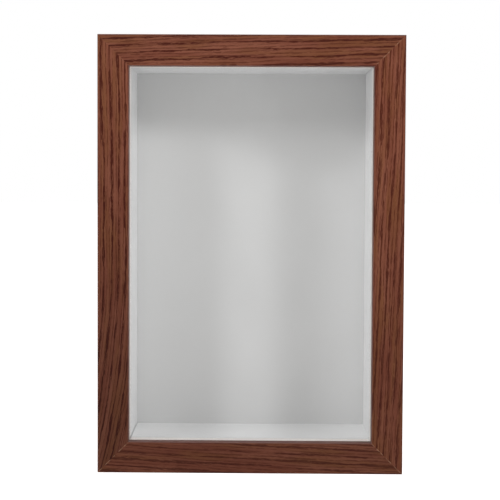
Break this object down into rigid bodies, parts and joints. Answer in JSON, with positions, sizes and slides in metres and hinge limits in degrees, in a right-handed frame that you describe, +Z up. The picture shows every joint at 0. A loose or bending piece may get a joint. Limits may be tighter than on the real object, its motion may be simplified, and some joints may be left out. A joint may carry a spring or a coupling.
{
  "type": "deep display box frame",
  "caption": "Deep glazed display box with a mitred wood-grain moulding, white liner walls and a removable back held by turn buttons.",
  "frame": {"origin": "middle of the wooden box's bottom face: middle of its width and middle of the depth of the moulding", "axes": "+X to the right seen from the front, +Y from the glass towards the back, +Z up the height"},
  "size_m": [0.231, 0.0779, 0.331],
  "materials": {
    "moulding": "satin",
    "v_nail_steel": "bare",
    "glass": "polished",
    "liner": "satin",
    "display_board": "matte",
    "backing_board": "raw",
    "turn_button": "zinc plated",
    "screw": "zinc plated",
    "hanger": "zinc plated",
    "hanger_ring": "bright",
    "bumper": "matte"
  },
  "bodies": {
    "frame": {"rail_top": "moulding", "rail_bottom": "moulding", "rail_left": "moulding", "rail_right": "moulding", "corner_v_nails": "v_nail_steel", "glass_pane": "glass", "liner_top": "liner", "liner_bottom": "liner", "liner_left": "liner", "liner_right": "liner", "turn_button_screws": "screw", "hanger_strap_left": "hanger", "hanger_strap_right": "hanger", "hanger_screws": "screw", "wall_bumpers": "bumper"},
    "back": {"display_board": "display_board", "backing_board": "backing_board"},
    "turn_button_top": {"turn_button_top": "turn_button"},
    "turn_button_bottom": {"turn_button_bottom": "turn_button"},
    "turn_button_left_upper": {"turn_button_left_upper": "turn_button"},
    "turn_button_left_lower": {"turn_button_left_lower": "turn_button"},
    "turn_button_right_upper": {"turn_button_right_upper": "turn_button"},
    "turn_button_right_lower": {"turn_button_right_lower": "turn_button"},
    "hanger_ring_left": {"hanger_ring_left": "hanger_ring"},
    "hanger_ring_right": {"hanger_ring_right": "hanger_ring"}
  },
  "joints": [
    {"name": "back_lift_out", "type": "slide", "parent": "frame", "child": "back", "axis": [0, 1, 0], "range_m": [0, 0.1]},
    {"name": "turn_top", "type": "hinge", "parent": "frame", "child": "turn_button_top", "pos_m": [0, 0.03715, 0.3235], "axis": [0, 1, 0], "continuous": true},
    {"name": "turn_bottom", "type": "hinge", "parent": "frame", "child": "turn_button_bottom", "pos_m": [0, 0.03715, 0.0075], "axis": [0, 1, 0], "continuous": true},
    {"name": "turn_left_upper", "type": "hinge", "parent": "frame", "child": "turn_button_left_upper", "pos_m": [-0.108, 0.03715, 0.2255], "axis": [0, 1, 0], "continuous": true},
    {"name": "turn_left_lower", "type": "hinge", "parent": "frame", "child": "turn_button_left_lower", "pos_m": [-0.108, 0.03715, 0.1055], "axis": [0, 1, 0], "continuous": true},
    {"name": "turn_right_upper", "type": "hinge", "parent": "frame", "child": "turn_button_right_upper", "pos_m": [0.108, 0.03715, 0.2255], "axis": [0, 1, 0], "continuous": true},
    {"name": "turn_right_lower", "type": "hinge", "parent": "frame", "child": "turn_button_right_lower", "pos_m": [0.108, 0.03715, 0.1055], "axis": [0, 1, 0], "continuous": true},
    {"name": "ring_left_swing", "type": "hinge", "parent": "frame", "child": "hanger_ring_left", "pos_m": [-0.108, 0.03883, 0.272], "axis": [1, 0, 0], "range_deg": [0, 180]},
    {"name": "ring_right_swing", "type": "hinge", "parent": "frame", "child": "hanger_ring_right", "pos_m": [0.108, 0.03883, 0.272], "axis": [1, 0, 0], "range_deg": [0, 180]}
  ]
}
